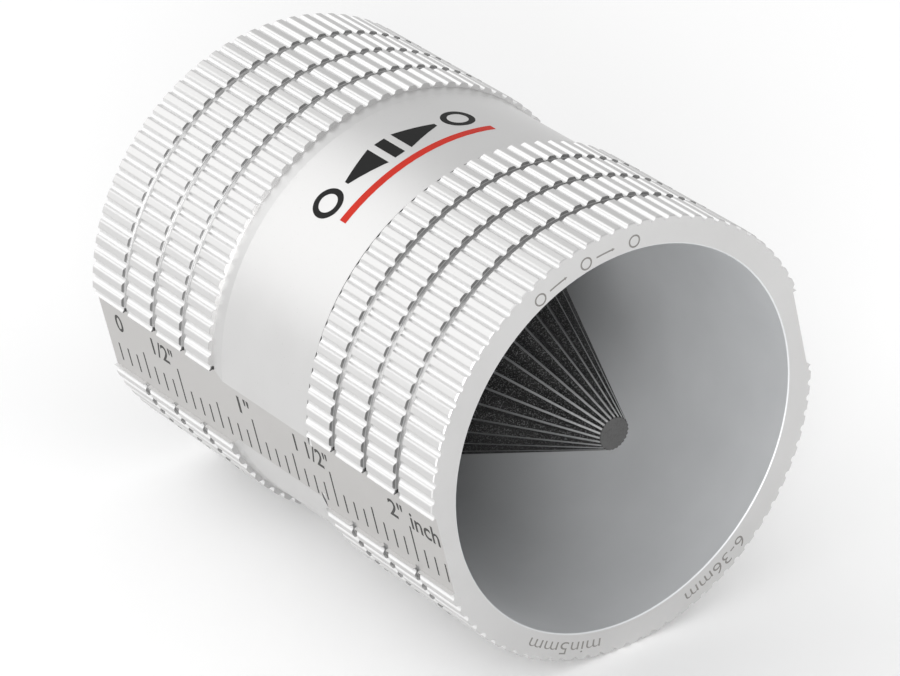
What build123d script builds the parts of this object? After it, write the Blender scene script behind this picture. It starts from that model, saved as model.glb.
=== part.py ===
from build123d import *
from math import acos, cos, degrees, radians, sin, tan
import os

# Inner-outer deburring tool, modelled lying on its side, in millimetres.
# Axis frame used while building: z runs along the tool from the rear face (0) to the
# front mouth (LENGTH), and x points to the middle of one flat.
# In the finished part the front mouth faces -Y and +Z is up. The tool is turned about its
# axis until it rests on two ribs, so the flats face about +X and -X, LYING_TURN off square.

# Driving sizes of the sleeve
LENGTH = 56.0
TIP_RADIUS = 22.5             # over the ribs, which are plain turned lands
VALLEY_RADIUS = 22.12         # at the bottom of the furrow between two ribs
RIB_POSITIONS = 88            # equal steps round the full circle
FURROW_RADIUS = 0.36          # hollow bottom of the furrow
RIB_CORNER_RADIUS = 0.26      # rounding of the ribs' long edges
FLAT_DISTANCE = 21.52         # from the axis to each of the two sunk flats
FLAT_WIDTH = 8.84
BAND_RADIUS = 21.8            # plain band in the middle
BAND_START = 20.2
BAND_END = 35.5
SHOULDER_RADIUS = 22.0        # the band rises a little towards its rear end
SHOULDER_LENGTH = 1.2
LINE_FLOOR = 21.7             # fine turned line in front of the band
FRONT_BLOCK_START = 36.05     # rear end of the first ring in front of the band
FRONT_BLOCK_END = 40.05       # front end of the same ring
RING_PITCH = 5.0              # from one ring groove to the next
GROOVE_WIDTH = 0.65
REAR_FLOOR = 22.05            # groove floor radius in the rear block
FRONT_FLOOR = 21.88           # groove floor radius in the front block
RINGS_PER_BLOCK = 4
RIB_END_CHAMFER = 0.25
FACE_RADIUS = 22.4            # outer edge of both end faces
BLANK_RADIUS = 23.0           # anything above the rib crests
MOUTH_CHAMFER = 0.1
BORE_RADIUS = 19.65           # front bore
REAR_BORE_RADIUS = 19.2       # seat of the funnel cutter
WEB_FRONT = 17.6              # web between the two bores
WEB_REAR = 15.6
WEB_HOLE_RADIUS = 12.0

# Cone cutter, in the front mouth
CONE_EDGES = 24
CONE_PHASE = 14.2             # degrees from the first flat to the first edge
CONE_HALF_ANGLE = 24.0
CONE_TIP_RADIUS = 1.7
CONE_TIP_DEPTH = 1.8          # below the front face
CONE_FLANGE_FRONT = 19.6
FLANGE_CLEARANCE = 0.05
FLUTE_RATIO = 0.93            # flute bottom radius over edge radius
EDGE_LAND = 0.16              # width of the ground land on each edge
SPIGOT_CLEARANCE = 0.05
SPIGOT_REAR = 15.7

# Funnel cutter, in the rear mouth
FUNNEL_EDGES = 30
FUNNEL_HALF_ANGLE = 52.0
FUNNEL_LIP_RADIUS = 18.3
FUNNEL_LIP_DEPTH = 0.8
FUNNEL_BOTTOM_RADIUS = 2.9
FUNNEL_FLUTE_RATIO = 1.05
FUNNEL_RIM_GAP = 0.3          # rim set in from the rear face

# Centre screw and drive pins
SCREW_RADIUS = 1.5
SCREW_HEAD_RADIUS = 2.75
SCREW_HEAD_HEIGHT = 1.4
SCREW_TIP = 27.0
HEX_ACROSS_FLATS = 2.0
HEX_DEPTH = 0.9
HOLE_CLEARANCE = 0.1
PIN_RADIUS = 1.25
PIN_CIRCLE_RADIUS = 8.0
PIN_REAR = 13.6
PIN_FRONT = 18.6
PIN_COUNT = 2

LYING_TURN = 3 * 360 / RIB_POSITIONS
LYING_X = (cos(radians(LYING_TURN)), 0, sin(radians(LYING_TURN)))
AXIS_FRAME = Plane(origin=(0, LENGTH / 2, 0), x_dir=LYING_X, z_dir=(0, -1, 0))
CONE_TIP = LENGTH - CONE_TIP_DEPTH
CONE_BASE_RADIUS = CONE_TIP_RADIUS + (CONE_TIP - CONE_FLANGE_FRONT) * tan(radians(CONE_HALF_ANGLE))
FUNNEL_DEPTH = (FUNNEL_LIP_RADIUS - FUNNEL_BOTTOM_RADIUS) / tan(radians(FUNNEL_HALF_ANGLE))
FUNNEL_BOTTOM = FUNNEL_LIP_DEPTH + FUNNEL_DEPTH


def polar(radius, angle, height=0.0):
    """A point at a radius and an angle in degrees round the tool's axis."""
    return Vector(radius * cos(radians(angle)), radius * sin(radians(angle)), height)


def turned(outline):
    """The solid that a closed (radius, height) outline sweeps round the axis."""
    points = [(radius, 0, height) for radius, height in outline]
    return revolve(make_face(Polyline(*points, close=True)), Axis.Z)


def rod(radius, start, end):
    """A plain round bar on the axis."""
    height = end - start
    return Pos(0, 0, start + height / 2) * Cylinder(radius, height)


def furrow_side(middle, side):
    """Points from the hollow of one furrow, over the rounded rib edge, to the land of the rib."""
    sweep = FURROW_RADIUS + RIB_CORNER_RADIUS
    slope = acos(1 - (TIP_RADIUS - VALLEY_RADIUS) / sweep)
    land = sweep * sin(slope)
    profile = [
        (FURROW_RADIUS * sin(slope), VALLEY_RADIUS + FURROW_RADIUS * (1 - cos(slope))),
        (land - RIB_CORNER_RADIUS * sin(slope / 2), TIP_RADIUS - RIB_CORNER_RADIUS * (1 - cos(slope / 2))),
        (land, TIP_RADIUS),
    ]
    return [polar(radius, middle + side * degrees(across / TIP_RADIUS)) for across, radius in profile]


def ribbed_section():
    """Cross-section of the blank: a furrow at each step, the first in the middle of a flat."""
    step = 360 / RIB_POSITIONS
    lines = []
    for position in range(RIB_POSITIONS):
        middle = position * step
        start, start_corner, start_land = furrow_side(middle, -1)
        end, end_corner, end_land = furrow_side(middle, 1)
        next_land = furrow_side(middle + step, -1)[-1]
        lines.append(ThreePointArc(start_land, start_corner, start))
        lines.append(ThreePointArc(start, polar(VALLEY_RADIUS, middle), end))
        lines.append(ThreePointArc(end, end_corner, end_land))
        lines.append(ThreePointArc(end_land, polar(TIP_RADIUS, middle + step / 2), next_land))
    sunk = BLANK_RADIUS - FLAT_DISTANCE
    cut = Rectangle(sunk, FLAT_WIDTH)
    middle = FLAT_DISTANCE + sunk / 2
    return make_face(lines) - Pos(middle, 0) * cut - Pos(-middle, 0) * cut


def ring_outline(start, end, floor):
    """Outer outline of one ring of ribs: its rear end is bevelled, its front end is square."""
    bevel_radius = TIP_RADIUS - RIB_END_CHAMFER
    return [
        (floor, start),
        (bevel_radius, start),
        (BLANK_RADIUS, start + BLANK_RADIUS - bevel_radius),
        (BLANK_RADIUS, end),
        (floor, end),
    ]


def sleeve_outline():
    """Turned outline of the sleeve: end bevels, ring grooves, the plain band and the bores."""
    bevel = BLANK_RADIUS - FACE_RADIUS
    ring = RING_PITCH - GROOVE_WIDTH
    outer = [(FACE_RADIUS, 0), (BLANK_RADIUS, bevel)]
    first_end = BAND_START - (RINGS_PER_BLOCK - 1) * RING_PITCH
    outer += [(BLANK_RADIUS, first_end), (REAR_FLOOR, first_end)]
    for index in range(1, RINGS_PER_BLOCK):
        end = first_end + index * RING_PITCH
        outer += ring_outline(end - ring, end, REAR_FLOOR)
    outer[-1] = (SHOULDER_RADIUS, BAND_START)
    outer += [(BAND_RADIUS, BAND_START + SHOULDER_LENGTH), (BAND_RADIUS, BAND_END)]
    outer += [(LINE_FLOOR, BAND_END), (LINE_FLOOR, FRONT_BLOCK_START)]
    outer += ring_outline(FRONT_BLOCK_START, FRONT_BLOCK_END, FRONT_FLOOR)[1:]
    for index in range(1, RINGS_PER_BLOCK - 1):
        end = FRONT_BLOCK_END + index * RING_PITCH
        outer += ring_outline(end - ring, end, FRONT_FLOOR)
    last = ring_outline(end + GROOVE_WIDTH, LENGTH, FRONT_FLOOR)
    outer += last[:3] + [(BLANK_RADIUS, LENGTH - bevel), (FACE_RADIUS, LENGTH)]
    inner = [
        (BORE_RADIUS + MOUTH_CHAMFER, LENGTH),
        (BORE_RADIUS, LENGTH - MOUTH_CHAMFER),
        (BORE_RADIUS, WEB_FRONT),
        (WEB_HOLE_RADIUS, WEB_FRONT),
        (WEB_HOLE_RADIUS, WEB_REAR),
        (REAR_BORE_RADIUS, WEB_REAR),
        (REAR_BORE_RADIUS, MOUTH_CHAMFER),
        (REAR_BORE_RADIUS + MOUTH_CHAMFER, 0),
    ]
    return outer + inner


def body_sleeve():
    """The gripping sleeve: a ribbed extrusion, turned outside and bored from both ends."""
    return extrude(ribbed_section(), LENGTH) & turned(sleeve_outline())


def toothed_section(edge_radius, flute_radius, count, phase, height):
    """A closed star outline with a narrow land on each tooth, at one height."""
    step = 360 / count
    half_land = EDGE_LAND / 2 / radians(1) / edge_radius
    points = []
    for tooth in range(count):
        angle = phase + tooth * step
        points.append(polar(edge_radius, angle - half_land, height))
        points.append(polar(edge_radius, angle + half_land, height))
        points.append(polar(flute_radius, angle + step / 2, height))
    return Wire.make_polygon(points, close=True)


def drive_pins(overlength=0.0):
    """Plain pins that stop the two cutters turning on each other, spaced round the axis."""
    pins = []
    for index in range(PIN_COUNT):
        place = polar(PIN_CIRCLE_RADIUS, index * 360 / PIN_COUNT)
        pins.append(Pos(place.X, place.Y, 0) * rod(PIN_RADIUS, PIN_REAR - overlength, PIN_FRONT + overlength))
    return pins


def pin_holes():
    """The holes that take the drive pins, a little longer than the pins."""
    return drive_pins(overlength=HOLE_CLEARANCE)


def cone_cutter():
    """The inside reamer: a fluted cone with a locating flange and a spigot."""
    base = toothed_section(
        CONE_BASE_RADIUS, CONE_BASE_RADIUS * FLUTE_RATIO, CONE_EDGES, CONE_PHASE, CONE_FLANGE_FRONT
    )
    tip = toothed_section(
        CONE_TIP_RADIUS, CONE_TIP_RADIUS * FLUTE_RATIO, CONE_EDGES, CONE_PHASE, CONE_TIP
    )
    cone = Solid.make_loft([base, tip], ruled=True)
    flange = rod(BORE_RADIUS - FLANGE_CLEARANCE, WEB_FRONT, CONE_FLANGE_FRONT)
    spigot = rod(WEB_HOLE_RADIUS - SPIGOT_CLEARANCE, SPIGOT_REAR, WEB_FRONT)
    cutter = cone + flange + spigot
    screw_hole = rod(SCREW_RADIUS, SPIGOT_REAR - 1, SCREW_TIP + HOLE_CLEARANCE)
    return cutter - screw_hole - pin_holes()


def funnel_cutter():
    """The outside reamer: a cup whose toothed funnel takes a pipe end from the rear."""
    rim = REAR_BORE_RADIUS - FLANGE_CLEARANCE
    # Teeth point inwards, so the cut is a star that is widest in the flutes.
    mouth = toothed_section(
        FUNNEL_LIP_RADIUS, FUNNEL_LIP_RADIUS * FUNNEL_FLUTE_RATIO, FUNNEL_EDGES, 0, FUNNEL_LIP_DEPTH
    )
    bottom = toothed_section(
        FUNNEL_BOTTOM_RADIUS, FUNNEL_BOTTOM_RADIUS * FUNNEL_FLUTE_RATIO, FUNNEL_EDGES, 0, FUNNEL_BOTTOM
    )
    funnel = Solid.make_loft([mouth, bottom], ruled=True)
    lip = rod(rim - FUNNEL_RIM_GAP, FUNNEL_RIM_GAP - 1, FUNNEL_LIP_DEPTH)
    cup = rod(rim, FUNNEL_RIM_GAP, WEB_REAR) - funnel - lip
    seat = FUNNEL_BOTTOM + SCREW_HEAD_HEIGHT
    head_hole = rod(SCREW_HEAD_RADIUS + HOLE_CLEARANCE, FUNNEL_BOTTOM - 1, seat)
    shank_hole = rod(SCREW_RADIUS + HOLE_CLEARANCE, seat - 1, WEB_REAR + 1)
    return cup - head_hole - shank_hole - pin_holes()


def centre_screw():
    """Low-head socket screw that draws both cutters against the web."""
    seat = FUNNEL_BOTTOM + SCREW_HEAD_HEIGHT
    head = rod(SCREW_HEAD_RADIUS, FUNNEL_BOTTOM, seat)
    shank = rod(SCREW_RADIUS, seat, SCREW_TIP)
    socket = extrude(RegularPolygon(HEX_ACROSS_FLATS / 2, 6, major_radius=False), HEX_DEPTH)
    return head + shank - Pos(0, 0, FUNNEL_BOTTOM) * socket


def write(name, solids):
    """Place a piece in the part's own frame and write its file."""
    placed = AXIS_FRAME * Compound(children=list(solids))
    export_step(placed, f"parts/{name}.step")


os.makedirs("parts", exist_ok=True)
write("body_sleeve", body_sleeve().solids())
write("cone_cutter", cone_cutter().solids())
write("funnel_cutter", funnel_cutter().solids())
write("centre_screw", centre_screw().solids())
write("drive_pins", drive_pins())
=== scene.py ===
from math import cos, pi, radians, sin, tan

import bpy
from mathutils import Matrix, Vector


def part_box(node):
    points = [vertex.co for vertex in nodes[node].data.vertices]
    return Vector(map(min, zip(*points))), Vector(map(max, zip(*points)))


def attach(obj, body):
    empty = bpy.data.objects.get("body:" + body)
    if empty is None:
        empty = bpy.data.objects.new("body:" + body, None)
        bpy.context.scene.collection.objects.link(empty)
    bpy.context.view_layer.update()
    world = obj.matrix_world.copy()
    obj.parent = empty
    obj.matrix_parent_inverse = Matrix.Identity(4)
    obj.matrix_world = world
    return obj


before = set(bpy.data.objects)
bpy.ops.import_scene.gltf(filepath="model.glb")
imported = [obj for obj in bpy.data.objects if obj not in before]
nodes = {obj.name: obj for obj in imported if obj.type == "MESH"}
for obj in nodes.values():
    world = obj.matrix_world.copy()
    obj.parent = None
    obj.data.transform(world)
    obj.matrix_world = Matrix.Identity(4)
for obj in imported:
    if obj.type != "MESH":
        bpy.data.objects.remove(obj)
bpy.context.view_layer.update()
MM = 0.001

# The tool lies along Y, with its front mouth towards -Y. It rests on two ribs, which turns its
# two scale flats LYING_TURN about the axis, from facing straight to -X and +X.
LYING_TURN = 2 * pi * 3 / 88
PRINT_TURN = LYING_TURN + radians(1.43)   # the rim and band marks sit a little off square
SLEEVE_LOW, SLEEVE_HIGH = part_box("body_sleeve")
FRONT_Y = SLEEVE_LOW.y
REAR_Y = SLEEVE_HIGH.y
FLOOR_Z = SLEEVE_LOW.z
CONE_LOW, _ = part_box("cone_cutter")

# Sizes of the sleeve that the marks and the materials follow. Places along the tool are measured
# from the rear face.
BAND_RADIUS = 21.8 * MM
CREST_RADIUS = 22.5 * MM
OUTSIDE_RADIUS = 21.4 * MM     # everything beyond this is the outside of the sleeve
BAND_REAR_Y = 7.8 * MM
BAND_FRONT_Y = -7.5 * MM
BAND_LINE = 35.56 * MM         # fine turned line in front of the band
BAND_LINE_HALF = 0.07 * MM
SHOULDER_MIDDLE = 20.8 * MM    # rise at the rear end of the band
SHOULDER_HALF = 0.6 * MM
BORE_RADIUS = 19.65 * MM
RING_PITCH = 5.0 * MM
RING_ENDS = ((5.2 * MM, 20.2 * MM), (40.05 * MM, 50.05 * MM))   # first and last of each block
GROOVE_WIDTH = 0.65 * MM
GROOVE_FLOOR_RADIUS = 22.1 * MM
WALL_LOW = 22.16 * MM          # the end wall of a ring shows from here
WALL_HIGH = 22.26 * MM
BEVEL_RADIUS = 22.39 * MM      # inner edge of the small bevel round each end face
BEVEL_DEPTH = 0.11 * MM        # also the depth of the bevel in the mouth of the bore
FLAT_X = 21.52 * MM
FLAT_HALF_WIDTH = 4.42 * MM
SHADE_CORNER_ACROSS = 4.62 * MM        # painted shade in the corners where the ring grooves run out beside the flats
SHADE_CORNER_HALF_WIDTH = 0.19 * MM
SKIN = 0.03 * MM               # half thickness of the masks that pick out one surface

# Sizes of the cutters
CONE_TIP_RADIUS = 1.7 * MM
CONE_HALF_ANGLE = radians(24.0)
CONE_LENGTH = 34.4 * MM
FUNNEL_LIP_RADIUS = 18.3 * MM
FUNNEL_LIP_DEPTH = 0.8 * MM
FUNNEL_HALF_ANGLE = radians(52.0)
BRIGHT_TIP_RADIUS = 7.0 * MM   # the ground edges brighten from here inwards
CONE_EDGE_FADE = (0.03 * MM, 0.012 * MM)      # depth below a cutting edge where its shine ends, is full
FUNNEL_EDGE_FADE = (0.035 * MM, 0.015 * MM)
FACE_SKIN = 0.01 * MM          # a surface this near the plane of an end face belongs to it

NOISE_ROUGHNESS = 0.55        # share of each finer layer in the noise
INK_DEPTH = 0.006 * MM        # how far a printed mark stands out of its surface
FONT_CAP = 0.70               # height of a capital in the default font at size 1
FLAT_TEXT_THINNING = -0.012   # change of stroke width, in the font's own units
RIM_TEXT_THINNING = 0.008
RIM_RADIUS = 20.9 * MM        # circle the rim marks follow, a little below the axis
RIM_CENTRE_Z = -0.3 * MM


# ---------------------------------------------------------------- camera

def add_camera():
    """A long lens, above and to the left of the mouth."""
    aim = Vector((0.0, -0.0006, -0.0008))
    back = Vector((-0.5160, -0.7092, 0.4804)).normalized()
    up = Vector((0.3016, 0.3745, 0.8769))
    right = up.cross(back).normalized()
    up = back.cross(right)
    distance = 0.4978
    data = bpy.data.cameras.new("camera")
    data.sensor_width = 36.0
    data.lens = 205.97
    data.clip_start = 0.01
    data.clip_end = 20.0
    camera = bpy.data.objects.new("camera", data)
    turn = Matrix((right, up, back)).transposed().to_4x4()
    camera.matrix_world = Matrix.Translation(aim + back * distance) @ turn
    bpy.context.scene.collection.objects.link(camera)
    bpy.context.scene.camera = camera


add_camera()


# ---------------------------------------------------------------- node helpers

class Shader:
    """A material with a Principled shader and short calls for the nodes that feed it."""

    def __init__(self, name):
        self.material = bpy.data.materials.new(name)
        self.material.use_nodes = True
        self.tree = self.material.node_tree
        self.tree.nodes.clear()
        output = self.tree.nodes.new("ShaderNodeOutputMaterial")
        self.surface = self.tree.nodes.new("ShaderNodeBsdfPrincipled")
        self.tree.links.new(self.surface.outputs["BSDF"], output.inputs["Surface"])
        self.place = self.tree.nodes.new("ShaderNodeTexCoord").outputs["Object"]

    def feed(self, socket, value):
        """Links a socket, or sets a constant."""
        if isinstance(value, bpy.types.NodeSocket):
            self.tree.links.new(value, socket)
        else:
            socket.default_value = value

    def math(self, operation, first, second=0.0, third=0.0):
        """The result of one arithmetic node."""
        node = self.tree.nodes.new("ShaderNodeMath")
        node.operation = operation
        for socket, value in zip(node.inputs, (first, second, third)):
            self.feed(socket, value)
        return node.outputs[0]

    def both(self, *masks):
        """One where every mask is one."""
        result = masks[0]
        for mask in masks[1:]:
            result = self.math("MULTIPLY", result, mask)
        return result

    def between(self, value, middle, half):
        """One where a value is within half of middle."""
        off = self.math("ABSOLUTE", self.math("SUBTRACT", value, middle))
        return self.math("LESS_THAN", off, half)

    def axes(self):
        """The object's own x, y and z."""
        node = self.tree.nodes.new("ShaderNodeSeparateXYZ")
        self.feed(node.inputs[0], self.place)
        return node.outputs

    def radius(self):
        """Distance from the tool's axis."""
        x, _, z = self.axes()
        squares = self.math("ADD", self.math("MULTIPLY", x, x), self.math("MULTIPLY", z, z))
        return self.math("SQRT", squares)

    def ramp(self, value, low, high):
        """A smooth step from nought at low to one at high."""
        node = self.tree.nodes.new("ShaderNodeMapRange")
        node.interpolation_type = "SMOOTHSTEP"
        node.inputs["From Min"].default_value = low
        node.inputs["From Max"].default_value = high
        self.feed(node.inputs["Value"], value)
        return node.outputs["Result"]

    def noise(self, scale, detail=4.0, stretch=(1, 1, 1)):
        """Cloudy noise, drawn out along an axis where its stretch is small."""
        mapping = self.tree.nodes.new("ShaderNodeMapping")
        mapping.inputs["Scale"].default_value = stretch
        self.feed(mapping.inputs["Vector"], self.place)
        node = self.tree.nodes.new("ShaderNodeTexNoise")
        node.inputs["Scale"].default_value = scale
        node.inputs["Detail"].default_value = detail
        node.inputs["Roughness"].default_value = NOISE_ROUGHNESS
        self.feed(node.inputs["Vector"], mapping.outputs["Vector"])
        return node.outputs["Fac"]

    def mix(self, factor, first, second):
        """Blends two colours or numbers."""
        node = self.tree.nodes.new("ShaderNodeMix")
        colours = any(isinstance(value, tuple) for value in (first, second))
        colours = colours or any(getattr(value, "type", "") == "RGBA" for value in (first, second))
        node.data_type = "RGBA" if colours else "FLOAT"
        start = 6 if colours else 2
        self.feed(node.inputs[0], factor)
        self.feed(node.inputs[start], first)
        self.feed(node.inputs[start + 1], second)
        return node.outputs[2 if colours else 0]

    def bump(self, height, distance, strength=1.0):
        """Feeds a height into the shader's normal."""
        node = self.tree.nodes.new("ShaderNodeBump")
        node.inputs["Distance"].default_value = distance
        node.inputs["Strength"].default_value = strength
        self.feed(node.inputs["Height"], height)
        self.feed(self.surface.inputs["Normal"], node.outputs["Normal"])

    def set(self, **values):
        """Feeds the shader's sockets by name, with an underscore for each space."""
        for name, value in values.items():
            self.feed(self.surface.inputs[name.replace("_", " ")], value)


def grey(level, warm=0.0):
    """A grey colour, warmed towards red and cooled in blue by a small amount."""
    return (level * (1 + warm), level, level * (1 - warm), 1.0)


# ---------------------------------------------------------------- materials

def square_axes(s):
    """Distances out of the flats' middle plane and across it, as if the flats stood square."""
    x, _, z = s.axes()
    out = s.math("MULTIPLY_ADD", z, sin(LYING_TURN), s.math("MULTIPLY", x, cos(LYING_TURN)))
    across = s.math("MULTIPLY_ADD", z, cos(LYING_TURN), s.math("MULTIPLY", x, -sin(LYING_TURN)))
    return out, across


def flats(s):
    """One on the two sunk flats."""
    from_axis, across = square_axes(s)
    on_plane = s.between(s.math("ABSOLUTE", from_axis), FLAT_X, SKIN / 3)
    inside = s.math("LESS_THAN", s.math("ABSOLUTE", across), FLAT_HALF_WIDTH)
    return s.both(on_plane, inside)


def ring_ends(s, y, half=SKIN, shift=0.0):
    """One within half of the rings' square front ends, or of places shifted forwards of them."""
    masks = []
    for first, last in RING_ENDS:
        along = s.math("SUBTRACT", REAR_Y - first - shift + half, y)
        near = s.math("LESS_THAN", s.math("MODULO", along, RING_PITCH), 2 * half)
        after = s.math("GREATER_THAN", along, 0.0)
        before = s.math("LESS_THAN", along, last - first + 2 * half)
        masks.append(s.both(near, after, before))
    return s.math("MAXIMUM", masks[0], masks[1])


def groove_nicks(s, y):
    """One where the ring grooves run out beside the flats, in the corner where shade is painted."""
    out, across = square_axes(s)
    beside = s.between(s.math("MULTIPLY", across, s.math("SIGN", out)), -SHADE_CORNER_ACROSS, SHADE_CORNER_HALF_WIDTH)
    return s.both(beside, ring_ends(s, y, 6 * SKIN))


def sleeve_masks(s):
    """The masks that tell the sleeve's surfaces apart, by name."""
    _, y, _ = s.axes()
    radius = s.radius()
    from_middle = s.math("ABSOLUTE", y)
    behind_band = s.math("GREATER_THAN", y, BAND_REAR_Y)
    beyond_band = s.math("MAXIMUM", behind_band, s.math("LESS_THAN", y, BAND_FRONT_Y))
    not_ends = s.math("LESS_THAN", from_middle, REAR_Y - SKIN)
    outside = s.both(s.math("GREATER_THAN", radius, OUTSIDE_RADIUS), not_ends)
    flat = s.both(outside, flats(s))
    round_part = s.math("SUBTRACT", outside, flat)
    ribs = s.both(beyond_band, round_part)
    floor = s.math("LESS_THAN", radius, GROOVE_FLOOR_RADIUS)
    past_bevel = s.math("GREATER_THAN", from_middle, REAR_Y - BEVEL_DEPTH)
    return {
        "flat": flat,
        "furrow": s.both(ribs, s.ramp(radius, CREST_RADIUS - SKIN, CREST_RADIUS - 3 * SKIN)),
        "wall": s.both(ring_ends(s, y), ribs, s.ramp(radius, WALL_LOW, WALL_HIGH)),
        "groove": s.both(ring_ends(s, y, GROOVE_WIDTH / 2, GROOVE_WIDTH / 2), ribs, floor),
        "shoulder": s.both(s.between(y, REAR_Y - SHOULDER_MIDDLE, SHOULDER_HALF), round_part),
        "bevel": s.both(s.math("GREATER_THAN", radius, BEVEL_RADIUS), past_bevel),
        "line": s.both(s.between(y, REAR_Y - BAND_LINE, BAND_LINE_HALF), round_part),
        # painted shade in the groove corners beside the flats
        "corner_shade": s.both(groove_nicks(s, y), round_part),
        "bore": s.math("LESS_THAN", radius, BORE_RADIUS + BEVEL_DEPTH),
    }


# How far each part of the sleeve is blended towards a grey level of its own. These are painted light
# and shade: painted shade on the ring walls, groove floors, groove corners and the fine band line,
# painted shade that damps highlights on the shoulder and the bevels, and painted light that lifts the
# furrows.
SLEEVE_PAINTED_SHADING = (
    # painted light: the furrows are lifted brighter against the shade between the ribs
    ("furrow", 0.60, 0.82),
    # painted shade on the narrow groove floors
    ("groove", 0.55, 0.28),
    # painted shade that damps the highlight on the rise at the rear end of the band
    ("shoulder", 0.10, 0.35),
    # painted shade on the rings' end walls inside the grooves
    ("wall", 0.62, 0.17),
    # painted shade that damps the highlights on the bevels round the end faces
    ("bevel", 0.20, 0.30),
    # painted shade of the fine turned line in front of the band
    ("line", 0.75, 0.13),
    # painted shade in the corners where the ring grooves run out beside the flats
    ("corner_shade", 0.85, 0.03),
)


def aluminium():
    """Satin drawn aluminium: turned lands and band, plain flats and a blasted bore, with painted light
    that brightens the furrows and painted shade on the groove walls and floors, the groove corners, the
    band's line and shoulder, and the end bevels.
    """
    s = Shader("satin_aluminium")
    masks = sleeve_masks(s)
    drawn = s.noise(900, 5.0, (1, 0.06, 1))
    turned = s.noise(700, 4.0, (0.05, 4.0, 0.05))
    mottle = s.noise(160, 6.0)
    specks = s.ramp(s.noise(5000, 2.0), 0.66, 0.76)
    tone = s.mix(mottle, grey(0.59, 0.006), grey(0.66, 0.004))
    tone = s.mix(masks["flat"], tone, s.mix(mottle, grey(0.515, 0.020), grey(0.555, 0.014)))
    # painted shade and painted light on the sleeve, from the table above
    for part, share, level in SLEEVE_PAINTED_SHADING:
        tone = s.mix(s.math("MULTIPLY", masks[part], share), tone, grey(level))
    tone = s.mix(s.math("MULTIPLY", specks, 0.15), tone, grey(0.25, 0.02))
    bore_tone = s.mix(mottle, grey(0.58, -0.020), grey(0.66, -0.015))
    tone = s.mix(masks["bore"], tone, bore_tone)
    rough = s.math("MULTIPLY_ADD", mottle, 0.14, 0.36)
    rough = s.mix(masks["bore"], rough, s.math("MULTIPLY_ADD", mottle, 0.10, 0.50))
    grain = s.mix(masks["furrow"], turned, drawn)
    s.set(Base_Color=tone, Metallic=s.mix(masks["bore"], 1.0, 0.35), Roughness=rough)
    s.bump(s.math("ADD", grain, s.math("MULTIPLY", mottle, 0.5)), 0.008 * MM, 0.5)
    return s.material


def black_oxide(name, edge_mask, end_mask):
    """Grainy black steel. The masks say where its bright ground edges and its plain ends are."""
    s = Shader(name)
    edge = edge_mask(s)
    end = end_mask(s)
    grain = s.noise(7000, 3.0)
    cloud = s.noise(220, 5.0)
    specks = s.ramp(grain, 0.50, 0.66)
    near_tip = s.ramp(s.radius(), BRIGHT_TIP_RADIUS, CONE_TIP_RADIUS)
    tone = s.mix(cloud, grey(0.008, 0.01), grey(0.024, 0.01))
    tone = s.mix(s.math("MULTIPLY", specks, 0.60), tone, grey(0.28))
    tone = s.mix(end, tone, grey(0.085))
    tone = s.mix(edge, tone, s.mix(near_tip, grey(0.25), grey(0.60)))
    rough = s.mix(edge, s.math("MULTIPLY_ADD", cloud, 0.2, 0.34), 0.36)
    metal = s.math("MAXIMUM", s.math("MULTIPLY_ADD", specks, 0.5, 0.5), edge)
    s.set(Base_Color=tone, Metallic=metal, Roughness=rough)
    s.set(Specular_IOR_Level=s.mix(edge, 0.25, 0.5))
    s.bump(s.math("ADD", grain, s.math("MULTIPLY", cloud, 0.4)), 0.04 * MM, 1.0)
    return s.material


def cone_edges(s):
    """One on the lands of the cone's teeth, where the surface reaches the cone itself."""
    _, y, _ = s.axes()
    depth = s.math("SUBTRACT", y, CONE_LOW.y)
    edge_radius = s.math("MULTIPLY_ADD", depth, tan(CONE_HALF_ANGLE), CONE_TIP_RADIUS)
    below = s.math("SUBTRACT", edge_radius, s.radius())
    on_cone = s.math("LESS_THAN", depth, CONE_LENGTH)
    off_tip = s.math("GREATER_THAN", depth, FACE_SKIN)
    return s.both(s.ramp(below, *CONE_EDGE_FADE), on_cone, off_tip)


def cone_tip(s):
    """One on the small flat tip of the cone."""
    _, y, _ = s.axes()
    return s.math("LESS_THAN", y, CONE_LOW.y + FACE_SKIN)


def funnel_edges(s):
    """One on the lands of the funnel's teeth, which point inwards."""
    _, y, _ = s.axes()
    depth = s.math("SUBTRACT", REAR_Y - FUNNEL_LIP_DEPTH, y)
    edge_radius = s.math("MULTIPLY_ADD", depth, -tan(FUNNEL_HALF_ANGLE), FUNNEL_LIP_RADIUS)
    above = s.math("SUBTRACT", s.radius(), edge_radius)
    inside = s.math("GREATER_THAN", depth, 0.0)
    return s.both(s.ramp(above, *FUNNEL_EDGE_FADE), inside)


def funnel_rim(s):
    """One on the funnel's plain rim."""
    _, y, _ = s.axes()
    return s.math("GREATER_THAN", y, REAR_Y - FUNNEL_LIP_DEPTH + FACE_SKIN)


def screw_steel():
    """Black socket screw with a little wear."""
    s = Shader("screw_black")
    wear = s.noise(900, 5.0)
    s.set(Base_Color=s.mix(wear, grey(0.04), grey(0.11)), Metallic=1.0)
    s.set(Roughness=s.math("MULTIPLY_ADD", wear, 0.2, 0.3))
    s.bump(wear, 0.01 * MM, 0.5)
    return s.material


def pin_steel():
    """Ground dowel steel, with fine rings."""
    s = Shader("pin_ground")
    rings = s.noise(900, 3.0, (0.1, 4.0, 0.1))
    s.set(Base_Color=s.mix(rings, grey(0.45), grey(0.62)), Metallic=1.0)
    s.set(Roughness=s.math("MULTIPLY_ADD", rings, 0.15, 0.2))
    s.bump(rings, 0.004 * MM, 0.4)
    return s.material


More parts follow.
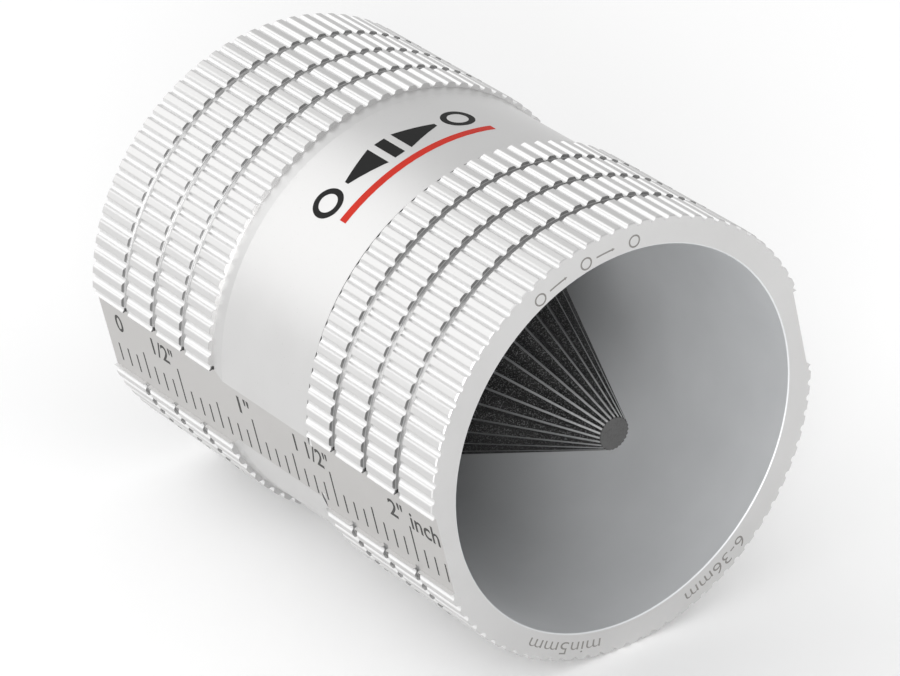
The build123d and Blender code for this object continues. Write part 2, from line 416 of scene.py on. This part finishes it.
def ink(name, dark, light, roughness):
    """Printed or etched marks: slightly uneven, as on bead-blasted metal."""
    s = Shader(name)
    uneven = s.noise(1400, 4.0)
    s.set(Base_Color=s.mix(uneven, dark, light), Metallic=0.0, Specular_IOR_Level=0.12)
    s.set(Roughness=s.math("MULTIPLY_ADD", uneven, 0.2, roughness - 0.1))
    s.bump(uneven, 0.004 * MM, 0.3)
    return s.material


def stripe_ink():
    """Orange-red print, a little uneven."""
    return ink("stripe_ink", (0.42, 0.016, 0.010, 1.0), (0.55, 0.030, 0.014, 1.0), 0.50)


def dress(node, material):
    """Gives a CAD node its material."""
    mesh = nodes[node].data
    mesh.materials.clear()
    mesh.materials.append(material)


dress("body_sleeve", aluminium())
dress("cone_cutter", black_oxide("cone_black_oxide", cone_edges, cone_tip))
dress("funnel_cutter", black_oxide("funnel_black_oxide", funnel_edges, funnel_rim))
dress("centre_screw", screw_steel())
dress("drive_pins", pin_steel())


# ---------------------------------------------------------------- printed and etched marks

def finish_mark(name, verts, faces, material):
    """Makes one mesh of closed thin plates, and rides it on the tool."""
    mesh = bpy.data.meshes.new(name)
    mesh.from_pydata(verts, [], faces)
    mesh.validate()
    mesh.update()
    mesh.materials.append(material)
    piece = bpy.data.objects.new(name, mesh)
    bpy.context.scene.collection.objects.link(piece)
    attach(piece, "root")
    return piece


class Plates:
    """Collects thin closed plates. wrap(u, v, height) puts each place on the sheet on the object."""

    def __init__(self, wrap, step):
        self.wrap = wrap
        self.step = step
        self.verts = []
        self.faces = []

    def strip(self, lower, upper):
        """A plate between two rows of points of the same count."""
        count = len(lower)
        base = len(self.verts)
        for height in (-INK_DEPTH, INK_DEPTH):
            for row in (lower, upper):
                self.verts += [self.wrap(u, v, height) for u, v in row]
        def at(layer, row, index):
            return base + (layer * 2 + row) * count + index
        for i in range(count - 1):
            self.faces.append((at(1, 0, i), at(1, 0, i + 1), at(1, 1, i + 1), at(1, 1, i)))
            self.faces.append((at(0, 0, i), at(0, 1, i), at(0, 1, i + 1), at(0, 0, i + 1)))
            for row in (0, 1):
                side = (at(0, row, i), at(0, row, i + 1), at(1, row, i + 1), at(1, row, i))
                self.faces.append(side if row == 0 else side[::-1])
        for i in (0, count - 1):
            end = (at(0, 0, i), at(1, 0, i), at(1, 1, i), at(0, 1, i))
            self.faces.append(end if i == 0 else end[::-1])

    def bar(self, u0, u1, v0, v1):
        """A rectangle, cut along u so that it can bend."""
        cuts = max(1, round(abs(u1 - u0) / self.step))
        us = [u0 + (u1 - u0) * i / cuts for i in range(cuts + 1)]
        self.strip([(u, v0) for u in us], [(u, v1) for u in us])

    def ring(self, u, v, outer, inner):
        """A flat ring about the place (u, v)."""
        cuts = 48
        angles = [2 * pi * i / cuts for i in range(cuts + 1)]
        self.strip(
            [(u + inner * cos(a), v + inner * sin(a)) for a in angles],
            [(u + outer * cos(a), v + outer * sin(a)) for a in angles],
        )

    def wedge(self, u0, half0, u1, half1, v):
        """A symmetrical wedge about the line v."""
        cuts = max(2, round(abs(u1 - u0) / self.step))
        us = [u0 + (u1 - u0) * i / cuts for i in range(cuts + 1)]
        halves = [half0 + (half1 - half0) * i / cuts for i in range(cuts + 1)]
        self.strip([(u, v - h) for u, h in zip(us, halves)], [(u, v + h) for u, h in zip(us, halves)])


def lying(x, y, z, turn=LYING_TURN):
    """Turns a point from the tool with square flats to the tool as it lies."""
    return (x * cos(turn) - z * sin(turn), y, x * sin(turn) + z * cos(turn))


def on_flat(side):
    """Wraps (distance from the rear face, height) onto the flat on one side."""
    def wrap(u, v, height):
        return lying(side * (FLAT_X + height), REAR_Y - u, v)
    return wrap


def on_band(u, v, height):
    """Wraps (arc length clockwise from half way between the flats, distance from the rear face)."""
    angle = pi / 2 - u / BAND_RADIUS
    radius = BAND_RADIUS + height
    return lying(radius * cos(angle), REAR_Y - v, radius * sin(angle), PRINT_TURN)


def on_rim(u, v, height):
    """Wraps (arc length clockwise from half way between the flats, height across the rim)."""
    radius = RIM_RADIUS + v
    angle = pi / 2 - u / RIM_RADIUS
    return lying(radius * cos(angle), FRONT_Y - height, RIM_CENTRE_Z + radius * sin(angle), PRINT_TURN)


def scale_marks(side, pitch, count, long_every, middle_every, tops, name, material):
    """The graduation lines of one flat."""
    plates = Plates(on_flat(side), 1.0)
    half_line = 0.115 * MM
    bottom, short_top, middle_top, long_top = (value * MM for value in tops)
    for mark in range(1, count + 1):
        top = short_top
        if mark % middle_every == 0:
            top = middle_top
        if mark % long_every == 0:
            top = long_top
        plates.bar(mark * pitch - half_line, mark * pitch + half_line, bottom, top)
    return finish_mark(name, plates.verts, plates.faces, material)


def text_mesh(text, thinning):
    """A short text in the default font, as vertices and faces, with its strokes thinned."""
    curve = bpy.data.curves.new("lettering", "FONT")
    curve.body = text
    curve.size = 1.0
    curve.offset = -thinning
    curve.extrude = 1.0
    curve.resolution_u = 6
    holder = bpy.data.objects.new("lettering", curve)
    mesh = bpy.data.meshes.new_from_object(holder)
    verts = [vertex.co.copy() for vertex in mesh.vertices]
    faces = [tuple(polygon.vertices) for polygon in mesh.polygons]
    bpy.data.objects.remove(holder)
    bpy.data.curves.remove(curve)
    bpy.data.meshes.remove(mesh)
    return verts, faces


def text_on_flat(side, labels, bottom, top, name, material):
    """Writes labels, each fitted between two distances from the rear face."""
    all_verts = []
    all_faces = []
    wrap = on_flat(side)
    for text, start, end in labels:
        verts, faces = text_mesh(text, FLAT_TEXT_THINNING)
        xs = [v.x for v in verts]
        low, high = min(xs), max(xs)
        base = len(all_verts)
        for v in verts:
            along = (v.x - low) / (high - low)
            u = start + (end - start) * (along if side < 0 else 1 - along)
            height = INK_DEPTH if v.z > 0 else -INK_DEPTH
            all_verts.append(wrap(u * MM, (bottom + (top - bottom) * v.y / FONT_CAP) * MM, height))
        all_faces += [tuple(base + i for i in face) for face in faces]
    return finish_mark(name, all_verts, all_faces, material)


def text_on_rim(labels, cap_height, name, material):
    """Writes labels clockwise round the front face, with their tops outwards."""
    all_verts = []
    all_faces = []
    for text, middle_degrees, span_degrees in labels:
        verts, faces = text_mesh(text, RIM_TEXT_THINNING)
        xs = [v.x for v in verts]
        low, high = min(xs), max(xs)
        base = len(all_verts)
        for v in verts:
            along = (v.x - low) / (high - low) - 0.5
            angle = radians(middle_degrees - along * span_degrees)
            height = INK_DEPTH if v.z > 0 else -INK_DEPTH
            above_middle = cap_height * (v.y / FONT_CAP - 0.5)
            all_verts.append(on_rim((pi / 2 - angle) * RIM_RADIUS, above_middle, height))
        all_faces += [tuple(base + i for i in face) for face in faces]
    return finish_mark(name, all_verts, all_faces, material)


etched = ink("etched_grey", grey(0.035, 0.02), grey(0.075, 0.02), 0.55)
faint = ink("etched_faint", grey(0.13, 0.04), grey(0.21, 0.04), 0.55)
printed = ink("printed_black", grey(0.006), grey(0.014), 0.55)

INCH = 25.4 * MM
SCALE_TOPS = (-3.305, -1.145, -0.115, 0.875)
scale_marks(-1, INCH / 16, 35, 8, 4, SCALE_TOPS, "inch_scale", etched)
INCH_LABELS = (
    ("0", 2.2, 3.5),
    ('1/2"', 8.65, 12.4),
    ('1"', 23.4, 25.4),
    ('1 1/2"', 32.7, 38.2),
    ('2"', 47.8, 50.1),
    ("inch", 51.2, 55.6),
)
text_on_flat(-1, INCH_LABELS, 0.84, 2.84, "inch_numerals", etched)

scale_marks(1, 1.0 * MM, 55, 10, 5, SCALE_TOPS, "metric_scale", etched)
METRIC_LABELS = [(str(number), number - 0.65, number + 0.65) for number in (10, 20, 30, 40, 50)]
METRIC_LABELS = [("0", 0.8, 1.9)] + METRIC_LABELS + [("mm", 52.4, 55.2)]
text_on_flat(1, METRIC_LABELS, 1.1, 2.8, "metric_numerals", etched)

RIM_LABELS = (("min5mm", 234.6, 25.0), ("6-36mm", 287.5, 22.5))
text_on_rim(RIM_LABELS, 1.3 * MM, "rim_sizes", faint)


def rim_symbols():
    """Plain symbols for the two uses: a tube end seen from the front, a cone and a funnel."""
    plates = Plates(on_rim, 0.4 * MM)
    line = 0.085 * MM
    size = 0.66 * MM
    for place in (-5.2, 0.4, 6.0):
        plates.ring(place * MM, 0.0, size, size - 2 * line)
    for place in (-3.1, 2.5):
        plates.bar((place - 0.9) * MM, (place + 0.9) * MM, -line, line)
        plates.wedge((place + 0.9) * MM, 2 * line, (place + 1.2) * MM, 0.2 * line, 0.0)
    return finish_mark("rim_symbols", plates.verts, plates.faces, faint)


rim_symbols()


def band_symbols():
    """A plain row of symbols on the band: a tube ring, a cone, a bar, a funnel and a tube ring."""
    plates = Plates(on_band, 0.4 * MM)
    middle = 27.4 * MM
    half = 1.7 * MM
    for place in (-8.6, 7.6):
        plates.ring(place * MM, middle, half, half * 0.62)
    plates.wedge(-6.0 * MM, 0.25 * MM, -1.9 * MM, half, middle)
    plates.bar(-1.1 * MM, 0.1 * MM, middle - half, middle + half)
    plates.wedge(0.9 * MM, half, 5.0 * MM, 0.25 * MM, middle)
    return finish_mark("band_symbols", plates.verts, plates.faces, printed)


def band_stripe():
    """The stripe under the symbols on the band."""
    plates = Plates(on_band, 0.4 * MM)
    plates.bar(-9.4 * MM, 9.4 * MM, 30.15 * MM, 31.05 * MM)
    return finish_mark("band_stripe", plates.verts, plates.faces, stripe_ink())


band_symbols()
band_stripe()


# ---------------------------------------------------------------- floor and light

def add_floor():
    """A plain pale floor under the tool."""
    half = 2.0
    mesh = bpy.data.meshes.new("floor")
    corners = [(-half, -half), (half, -half), (half, half), (-half, half)]
    mesh.from_pydata([(x, y, FLOOR_Z) for x, y in corners], [], [(0, 1, 2, 3)])
    s = Shader("floor_pale")
    soft = s.noise(6, 3.0)
    s.set(Base_Color=s.mix(soft, grey(0.94), grey(0.96)), Roughness=0.8)
    mesh.materials.append(s.material)
    floor = bpy.data.objects.new("floor", mesh)
    bpy.context.scene.collection.objects.link(floor)


def add_light(name, place, target, size, power):
    """A square soft box that faces its target."""
    data = bpy.data.lights.new(name, "AREA")
    data.shape = "SQUARE"
    data.size = size
    data.energy = power
    light = bpy.data.objects.new(name, data)
    place = Vector(place)
    aim = (Vector(target) - place).to_track_quat("-Z", "Y")
    light.matrix_world = Matrix.Translation(place) @ aim.to_matrix().to_4x4()
    bpy.context.scene.collection.objects.link(light)


def add_world():
    """An even white surround."""
    world = bpy.data.worlds.new("studio")
    world.use_nodes = True
    background = world.node_tree.nodes["Background"]
    background.inputs["Color"].default_value = (1.0, 1.0, 1.0, 1.0)
    background.inputs["Strength"].default_value = 0.84
    bpy.context.scene.world = world


add_floor()
add_world()
add_light("key", (-0.84, 1.34, 1.04), (0, 0, 0), 2.1, 11.0)
add_light("mouth", (-0.98, -1.25, 0.33), (0, 0, 0), 0.7, 20.0)
bpy.context.scene.view_settings.view_transform = "Standard"
